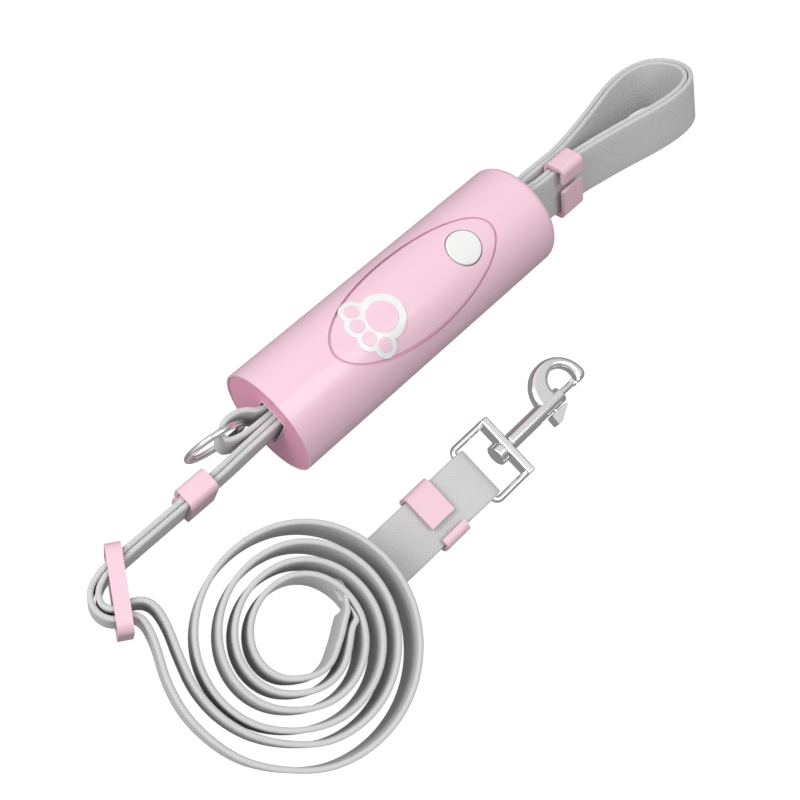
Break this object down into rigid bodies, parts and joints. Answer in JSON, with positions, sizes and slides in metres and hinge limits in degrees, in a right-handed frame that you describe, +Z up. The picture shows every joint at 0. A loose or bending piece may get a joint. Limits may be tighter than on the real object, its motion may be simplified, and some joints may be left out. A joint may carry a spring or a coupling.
{
  "type": "retractable leash",
  "caption": "Retractable webbing dog leash: tubular grip with a push-button web lock, wrist loop, plastic keepers, coiled double leash and a swivel bolt snap.",
  "frame": {"origin": "on the surface it lies on, under the middle of the grip", "axes": "+X along the grip from the leash end towards the wrist loop, +Y away from the hook, +Z up through the button"},
  "size_m": [0.3051, 0.1185, 0.0407],
  "materials": {
    "grip_shell": "gloss, pale pink",
    "grip_trim": "gloss, deeper pink",
    "white_plastic": "gloss, white",
    "keeper_plastic": "satin, pale pink",
    "webbing": "woven, pale grey",
    "inner_plastic": "moulded, grey",
    "steel": "plain steel",
    "chrome": "polished plating over cast alloy"
  },
  "bodies": {
    "grip": {"grip_tube": "grip_shell", "leash_end_cap": "grip_trim", "wrist_end_cap": "grip_shell", "leash_slot_bushing": "grip_shell", "wrist_slot_bushing": "grip_shell", "oval_fascia": "grip_shell", "paw_plate": "white_plastic", "paw_pads": "grip_shell", "lock_housing": "inner_plastic", "clamp_anvil": "steel", "jaw_pin": "steel", "housing_screws": "steel", "button_spring": "steel", "jaw_spring": "steel", "webbing_in_grip": "webbing", "ring_tab": "webbing", "leash_lead_a": "webbing", "leash_lead_b": "webbing", "leash_bight_a": "webbing", "leash_bight_b": "webbing", "leash_coil": "webbing", "leash_strip_lower": "webbing", "leash_strip_upper": "webbing", "wrist_loop_outer": "webbing", "wrist_loop_inner": "webbing"},
    "button": {"release_button": "white_plastic"},
    "jaw": {"lock_jaw": "inner_plastic"},
    "ring": {"accessory_ring": "chrome"},
    "wrist_keeper_body": {"wrist_keeper": "keeper_plastic"},
    "leash_keeper_body": {"leash_keeper": "keeper_plastic"},
    "bight_ring_body": {"bight_ring": "keeper_plastic"},
    "hook_keeper_body": {"hook_keeper": "keeper_plastic"},
    "loop": {"hook_loop": "chrome"},
    "hook": {"hook_body": "chrome", "swivel_stud": "chrome", "bolt_spring": "steel"},
    "bolt": {"bolt_pin": "chrome", "thumb_knob": "chrome"}
  },
  "joints": [
    {"name": "button_press", "type": "slide", "parent": "grip", "child": "button", "axis": [0, 0, -1], "range_m": [0, 0.0014], "stiffness_N_per_m": 600, "springref_m": -0.004, "deforming": ["button_spring"]},
    {"name": "jaw_turn", "type": "hinge", "parent": "grip", "child": "jaw", "pos_m": [0.025, 0.0105, 0.0295], "axis": [1, 0, 0], "range_deg": [0, 19.5], "deforming": ["jaw_spring"]},
    {"name": "ring_swing", "type": "hinge", "parent": "grip", "child": "ring", "pos_m": [-0.0792, 0.0065, 0.02], "axis": [0, 0, 1], "range_deg": [-2, 2]},
    {"name": "wrist_keeper_slide", "type": "slide", "parent": "grip", "child": "wrist_keeper_body", "axis": [1, 0, 0], "range_m": [-0.0075, 0]},
    {"name": "leash_keeper_slide", "type": "slide", "parent": "grip", "child": "leash_keeper_body", "axis": [1, 0, 0], "range_m": [-0.018, 0]},
    {"name": "bight_ring_slide", "type": "slide", "parent": "grip", "child": "bight_ring_body", "axis": [1, 0, 0], "range_m": [-0.0025, 0.0025]},
    {"name": "hook_keeper_slide", "type": "slide", "parent": "grip", "child": "hook_keeper_body", "axis": [1, 0, 0], "range_m": [-0.012, 0.002]},
    {"name": "hook_loop_swing", "type": "hinge", "parent": "grip", "child": "loop", "pos_m": [-0.0155, -0.06, 0.0045], "axis": [0, -1, 0], "range_deg": [0, 100]},
    {"name": "hook_swivel", "type": "hinge", "parent": "loop", "child": "hook", "pos_m": [0.0015, -0.06, 0.0045], "axis": [1, 0, 0], "continuous": true},
    {"name": "bolt_slide", "type": "slide", "parent": "hook", "child": "bolt", "axis": [-1, 0, 0], "range_m": [0, 0.007], "stiffness_N_per_m": 300, "springref_m": -0.004, "deforming": ["bolt_spring"]}
  ],
  "couplings": [
    {"joint": "jaw_turn", "follows": "button_press", "rad_per_m": 240}
  ]
}
